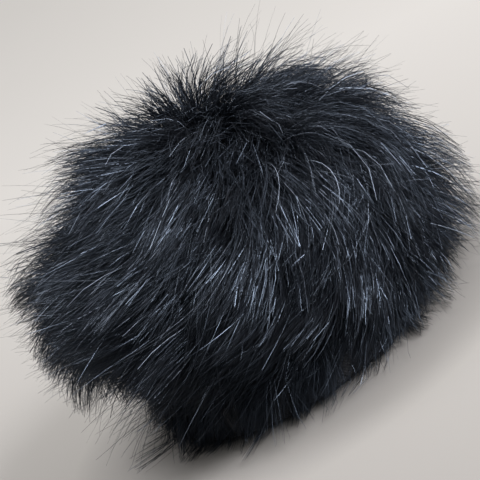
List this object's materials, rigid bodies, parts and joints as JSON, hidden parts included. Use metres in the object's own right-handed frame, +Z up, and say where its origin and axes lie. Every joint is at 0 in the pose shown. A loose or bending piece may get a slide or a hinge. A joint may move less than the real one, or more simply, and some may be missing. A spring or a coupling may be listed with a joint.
{
  "type": "furry windscreen",
  "caption": "Slip-on furry microphone windscreen: a ball-shaped cover of long black pile with a gathered crown, over a foam core with a rubber collar that grips the microphone.",
  "frame": {"origin": "middle of the mouth, on the surface that the windscreen stands on", "axes": "+Z up along the windscreen's axis from its mouth to its crown, +X to the right and -Y to the front as the picture sees it"},
  "size_m": [0.117, 0.117, 0.083],
  "materials": {
    "black_fur": "long glossy black pile with blue-grey lights",
    "knit_backing": "matt black warp knit",
    "sewing_thread": "black spun thread",
    "binding_tape": "black woven tape",
    "flat_elastic": "black ribbed elastic",
    "open_cell_foam": "charcoal open-cell foam",
    "collar_rubber": "matt black moulded rubber"
  },
  "bodies": {
    "foam_core": {"foam_dome": "open_cell_foam", "foam_base_ring": "open_cell_foam", "mic_collar": "collar_rubber"},
    "fur_cover": {"fur_panel_front": "black_fur", "fur_panel_front_right": "black_fur", "fur_panel_back_right": "black_fur", "fur_panel_back": "black_fur", "fur_panel_back_left": "black_fur", "fur_panel_front_left": "black_fur", "seam_thread_right": "sewing_thread", "seam_thread_back_right": "sewing_thread", "seam_thread_back_left": "sewing_thread", "seam_thread_left": "sewing_thread", "seam_thread_front_left": "sewing_thread", "seam_thread_front_right": "sewing_thread", "crown_tack": "sewing_thread", "hem_casing": "binding_tape", "hem_stitches": "sewing_thread", "casing_join_stitches": "sewing_thread", "elastic_band": "flat_elastic", "elastic_join_stitches": "sewing_thread"}
  },
  "joints": [
    {"name": "cover_lift", "type": "slide", "parent": "foam_core", "child": "fur_cover", "axis": [0, 0, 1], "range_m": [0, 0.085]}
  ]
}
